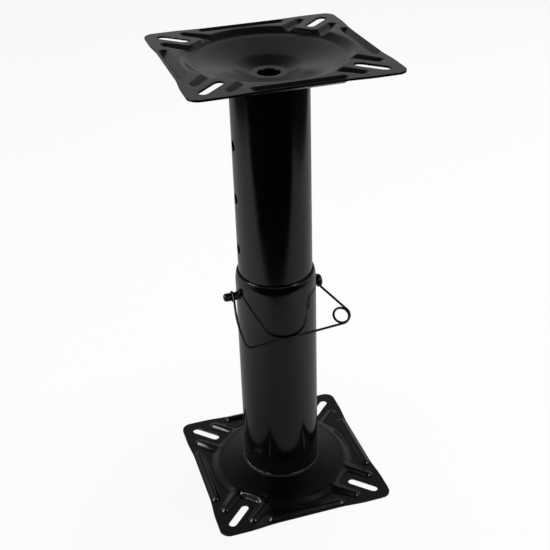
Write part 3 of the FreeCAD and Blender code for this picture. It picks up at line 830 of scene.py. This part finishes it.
def paint(name, tone, gloss, peel):
    """Black paint over steel: faint mottling, uneven gloss and a fine orange-peel surface."""
    material, tree, shader = new_material(name)
    place = tree.nodes.new("ShaderNodeTexCoord")
    mottle = noise(tree, place, MOTTLE_SCALE, 3.0)
    ramp = tree.nodes.new("ShaderNodeValToRGB")
    ramp.color_ramp.elements[0].position = 0.35
    ramp.color_ramp.elements[1].position = 0.7
    ramp.color_ramp.elements[0].color = (tone * 0.8, tone * 0.8, tone * 0.82, 1)
    ramp.color_ramp.elements[1].color = (tone * 1.25, tone * 1.25, tone * 1.3, 1)
    tree.links.new(mottle.outputs["Fac"], ramp.inputs["Fac"])
    tree.links.new(ramp.outputs["Color"], shader.inputs["Base Color"])
    uneven = noise(tree, place, GLOSS_SCALE, 2.0)
    tree.links.new(ranged(tree, uneven.outputs["Fac"], gloss * 0.8, gloss * 1.25), shader.inputs["Roughness"])
    fine = noise(tree, place, PEEL_SCALE, 1.0)
    wave = noise(tree, place, WAVE_SCALE, 1.0)
    first = bump(tree, fine, peel, PEEL_HEIGHT)
    second = bump(tree, wave, peel, WAVE_HEIGHT)
    tree.links.new(first.outputs["Normal"], second.inputs["Normal"])
    tree.links.new(second.outputs["Normal"], shader.inputs["Normal"])
    return material


plate_paint = paint("plate_paint", 0.002, 0.20, 0.5)
tube_paint = paint("tube_paint", 0.002, 0.14, 0.4)
weld_paint = paint("weld_paint", 0.002, 0.18, 0.8)
pin_paint = paint("pin_paint", 0.004, 0.25, 0.5)
wire_paint = paint("wire_paint", 0.003, 0.25, 0.5)


# Pieces

def dress(thing, body, node):
    """Fix a piece to its body, in the place of its plain solid."""
    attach(thing, body)
    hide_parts(node)


plate_vertices, plate_normals, plate_faces = build_plate()
top_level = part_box("top_plate")[1].z / MM
upper_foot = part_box("upper_tube")[0].z / MM
lower_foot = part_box("lower_tube")[0].z / MM

base_plate = make_object("base_stamping", plate_vertices, plate_normals, plate_faces, plate_paint)
dress(base_plate, "foot", "base_plate")

turned = plate_vertices * [1, -1, -1] + [0, 0, top_level]
top_plate = make_object("top_stamping", turned, plate_normals * [1, -1, -1], plate_faces, plate_paint)
dress(top_plate, "seat_post", "top_plate")

arrays = build_tube(
    LOWER_RADIUS, lower_foot, LOWER_LENGTH, [LOWER_HOLE], lower_outer, lower_inner, MOUTH_ROUND)
dress(make_object("outer_tube", *arrays, tube_paint), "foot", "lower_tube")

arrays = build_tube(
    UPPER_RADIUS, upper_foot, UPPER_LENGTH, UPPER_HOLES,
    lambda height: np.full_like(height, UPPER_RADIUS),
    lambda height: np.full_like(height, UPPER_BORE),
    CUT_ROUND)
dress(make_object("inner_tube", *arrays, tube_paint), "seat_post", "upper_tube")

vertices, faces = build_lathe(pin_profile(), PIN_SIDES)
lock_pin = make_object("lock_pin", swing(vertices), None, faces, pin_paint)
dress(lock_pin, "pin_and_bail", "locking_pin")

vertices, faces = build_sweep(bail_path(), WIRE_RADIUS)
wire_bail = make_object("wire_bail", swing(vertices), None, faces, wire_paint)
dress(wire_bail, "pin_and_bail", "bail_wire")


def dome_height(radius):
    """Height of the dome's outer face above the mounting face."""
    return PLATE_GAUGE + float(dish_height(radius, 0.0))


lower_root, upper_root = dome_height(LOWER_RADIUS), dome_height(UPPER_RADIUS)
vertices, faces = build_weld(LOWER_RADIUS, lower_root, DISH_SLOPE, lambda height: height)
foot_weld = make_object("foot_weld", vertices, None, faces, weld_paint)
dress(foot_weld, "foot", "base_weld")

vertices, faces = build_weld(UPPER_RADIUS, upper_root, DISH_SLOPE, lambda height: top_level - height)
head_weld = make_object("head_weld", vertices, None, [face[::-1] for face in faces], weld_paint)
dress(head_weld, "seat_post", "top_weld")


# Stage, light and camera, in metres

def camera_ray_white(tree, shader_socket, share):
    """Show a surface as white to the camera, by the share given, and keep its own shading for the rest."""
    light_path = tree.nodes.new("ShaderNodeLightPath")
    glow = tree.nodes.new("ShaderNodeEmission")
    glow.inputs["Color"].default_value = (1, 1, 1, 1)
    glow.inputs["Strength"].default_value = 1.0
    factor = tree.nodes.new("ShaderNodeMath")
    factor.operation = "MULTIPLY"
    factor.inputs[1].default_value = share
    tree.links.new(light_path.outputs["Is Camera Ray"], factor.inputs[0])
    mix = tree.nodes.new("ShaderNodeMixShader")
    tree.links.new(factor.outputs[0], mix.inputs["Fac"])
    tree.links.new(shader_socket, mix.inputs[1])
    tree.links.new(glow.outputs[0], mix.inputs[2])
    return mix.outputs[0]


CAMERA_PLACE = Vector((-0.22884, -0.75919, 0.69917))
CAMERA_AIM = Vector((-0.00052, 0.00016, 0.22852))
CAMERA_ROLL = math.radians(-1.908)
TABLE_FRONT = 0.398
TABLE_REACH = 3.0
TABLE_LEVEL = -0.0002
TABLE_WHITE_SHARE = 0.9
CAMERA_LENS = 63.91
CAMERA_SENSOR = 36.0
CAMERA_NEAR = 0.01


def stepped(tree, source, start, end, low, high):
    """Go smoothly from one value to another while the source goes from start to end."""
    node = tree.nodes.new("ShaderNodeMapRange")
    node.interpolation_type = "SMOOTHSTEP"
    for name, value in (("From Min", start), ("From Max", end), ("To Min", low), ("To Max", high)):
        node.inputs[name].default_value = value
    tree.links.new(source, node.inputs["Value"])
    return node.outputs["Result"]


def combined(tree, operation, first, second):
    """Put two values together."""
    node = tree.nodes.new("ShaderNodeMath")
    node.operation = operation
    tree.links.new(first, node.inputs[0])
    tree.links.new(second, node.inputs[1])
    return node.outputs[0]


def table_painted_light_and_shade(tree):
    """The table's colour as gloss paint mirrors it, with painted light and shade: painted shade near the
    object, painted light to the left, and painted dark at its two ends.
    """
    place = tree.nodes.new("ShaderNodeTexCoord")

    def measured(operation, vector):
        node = tree.nodes.new("ShaderNodeVectorMath")
        node.operation = operation
        tree.links.new(place.outputs["Object"], node.inputs[0])
        node.inputs[1].default_value = vector
        return node.outputs["Value"]

    # Painted shade: the table's colour is darker close to the object and lighter further out.
    tone = stepped(tree, measured("DISTANCE", (-0.03, -0.28, 0.0)), 0.08, 0.32, 0.35, 0.50)
    # Painted light: the table's colour is lighter towards the left.
    painted_left_light = stepped(tree, measured("DOT_PRODUCT", (1.0, 0.0, 0.0)), -0.15, -0.50, 0.0, 0.15)
    # Painted dark at the table's left and right ends, standing in for where the mirrored table stops.
    painted_dark_left_end = stepped(tree, measured("DOT_PRODUCT", (1.0, -0.24, 0.0)), -1.06, -0.93, 0.10, 1.0)
    painted_dark_right_end = stepped(tree, measured("DOT_PRODUCT", (1.0, -0.33, 0.0)), 0.80, 0.93, 1.0, 0.08)
    tone = combined(tree, "ADD", tone, painted_left_light)
    return combined(tree, "MULTIPLY", combined(tree, "MULTIPLY", tone, painted_dark_left_end), painted_dark_right_end)


def make_table():
    """A table top, white to the camera, whose front edge lies between the object and the camera's foot; other
    rays see its painted light and shade.
    """
    toward = Vector((CAMERA_PLACE.x, CAMERA_PLACE.y)).normalized()
    side = Vector((-toward.y, toward.x))
    corners = []
    for front, across in ((TABLE_FRONT, 1), (TABLE_FRONT, -1), (-TABLE_REACH, -1), (-TABLE_REACH, 1)):
        place = toward * front + side * across * TABLE_REACH
        corners.append((place.x, place.y, TABLE_LEVEL))
    mesh = bpy.data.meshes.new("table_top")
    mesh.from_pydata(corners, [], [[0, 1, 2, 3]])
    thing = bpy.data.objects.new("table_top", mesh)
    bpy.context.scene.collection.objects.link(thing)
    material, tree, shader = new_material("table_white_and_painted_light")
    shader.inputs["Roughness"].default_value = 0.9
    shader.inputs["Specular IOR Level"].default_value = 0.0
    light_path = tree.nodes.new("ShaderNodeLightPath")
    # The camera sees the table as even white 0.95; other rays see its painted light and shade colour.
    tone = tree.nodes.new("ShaderNodeMix")
    tone.data_type = "RGBA"
    tree.links.new(table_painted_light_and_shade(tree), tone.inputs[6])
    tone.inputs[7].default_value = (0.95, 0.95, 0.95, 1)
    tree.links.new(light_path.outputs["Is Camera Ray"], tone.inputs[0])
    tree.links.new(tone.outputs[2], shader.inputs["Base Color"])
    output = tree.nodes["Material Output"]
    surface = camera_ray_white(tree, shader.outputs["BSDF"], TABLE_WHITE_SHARE)
    tree.links.new(surface, output.inputs["Surface"])
    mesh.materials.append(material)


# Brightness of the surroundings from straight down, at 0, to straight up, at 1
WORLD_STOPS = [
    (0.0, 0.003), (0.495, 0.004), (0.505, 0.42), (0.58, 0.44), (0.66, 0.38), (0.75, 0.28), (0.83, 0.19),
    (0.93, 0.06), (1.0, 0.02)]


def make_world():
    """Soft studio surroundings: pale walls, a darker ceiling, and a white background for the camera."""
    world = bpy.data.worlds.new("studio")
    bpy.context.scene.world = world
    world.use_nodes = True
    tree = world.node_tree
    background = tree.nodes["Background"]
    place = tree.nodes.new("ShaderNodeTexCoord")
    split = tree.nodes.new("ShaderNodeSeparateXYZ")
    tree.links.new(place.outputs["Generated"], split.inputs[0])
    height = tree.nodes.new("ShaderNodeMapRange")
    height.inputs["From Min"].default_value = -1.0
    height.inputs["From Max"].default_value = 1.0
    tree.links.new(split.outputs["Z"], height.inputs["Value"])
    ramp = tree.nodes.new("ShaderNodeValToRGB")
    stops = ramp.color_ramp.elements
    while len(stops) < len(WORLD_STOPS):
        stops.new(0.5)
    for stop, (position, level) in zip(stops, WORLD_STOPS):
        stop.position = position
        stop.color = (level, level, level, 1)
    tree.links.new(height.outputs["Result"], ramp.inputs["Fac"])
    tree.links.new(ramp.outputs["Color"], background.inputs["Color"])
    output = tree.nodes["World Output"]
    white = tree.nodes.new("ShaderNodeBackground")
    white.inputs["Color"].default_value = (1, 1, 1, 1)
    light_path = tree.nodes.new("ShaderNodeLightPath")
    mix = tree.nodes.new("ShaderNodeMixShader")
    tree.links.new(light_path.outputs["Is Camera Ray"], mix.inputs["Fac"])
    tree.links.new(background.outputs[0], mix.inputs[1])
    tree.links.new(white.outputs[0], mix.inputs[2])
    tree.links.new(mix.outputs[0], output.inputs["Surface"])


# Name, place, aim, side, power, whether gloss mirrors the light, and whether it lights dull surfaces
LIGHTS = [
    ("overhead", (0.25, 0.1, 1.9), (0, 0, 0.2), 0.9, 22.0, False, True),
    ("left_side", (-1.5, -0.3, 0.75), (0, 0, 0.25), 1.4, 7.0, False, True),
    ("right_side", (1.5, 0.5, 0.75), (0, 0, 0.25), 1.4, 7.0, False, True),
    ("left_catch", (-0.75, 0.05, 0.75), (0, 0, 0.05), 0.36, 3.6, True, False),
    ("right_catch", (0.62, -0.62, 0.95), (0, 0, 0.05), 0.24, 2.0, True, False),
]


def make_light(name, place, aim, size, power, mirrored, spread):
    """A square soft light, pointed at a place."""
    light = bpy.data.lights.new(name, "AREA")
    light.shape = "SQUARE"
    light.size = size
    light.energy = power
    thing = bpy.data.objects.new(name, light)
    bpy.context.scene.collection.objects.link(thing)
    thing.location = place
    thing.visible_glossy = mirrored
    thing.visible_diffuse = spread
    thing.rotation_euler = (Vector(aim) - Vector(place)).to_track_quat("-Z", "Y").to_euler()


def make_camera():
    """The camera at the photograph's place, angle and roll."""
    data = bpy.data.cameras.new("camera")
    data.lens = CAMERA_LENS
    data.sensor_width = CAMERA_SENSOR
    data.clip_start = CAMERA_NEAR
    thing = bpy.data.objects.new("camera", data)
    bpy.context.scene.collection.objects.link(thing)
    forward = (CAMERA_AIM - CAMERA_PLACE).normalized()
    level = forward.cross(Vector((0, 0, 1))).normalized()
    upright = level.cross(forward)
    right = level * math.cos(CAMERA_ROLL) + upright * math.sin(CAMERA_ROLL)
    up = upright * math.cos(CAMERA_ROLL) - level * math.sin(CAMERA_ROLL)
    turn = Matrix((right, up, -forward)).transposed()
    thing.matrix_world = Matrix.Translation(CAMERA_PLACE) @ turn.to_4x4()
    bpy.context.scene.camera = thing


make_table()
make_world()
for values in LIGHTS:
    make_light(*values)
make_camera()
bpy.context.scene.view_settings.view_transform = "Standard"
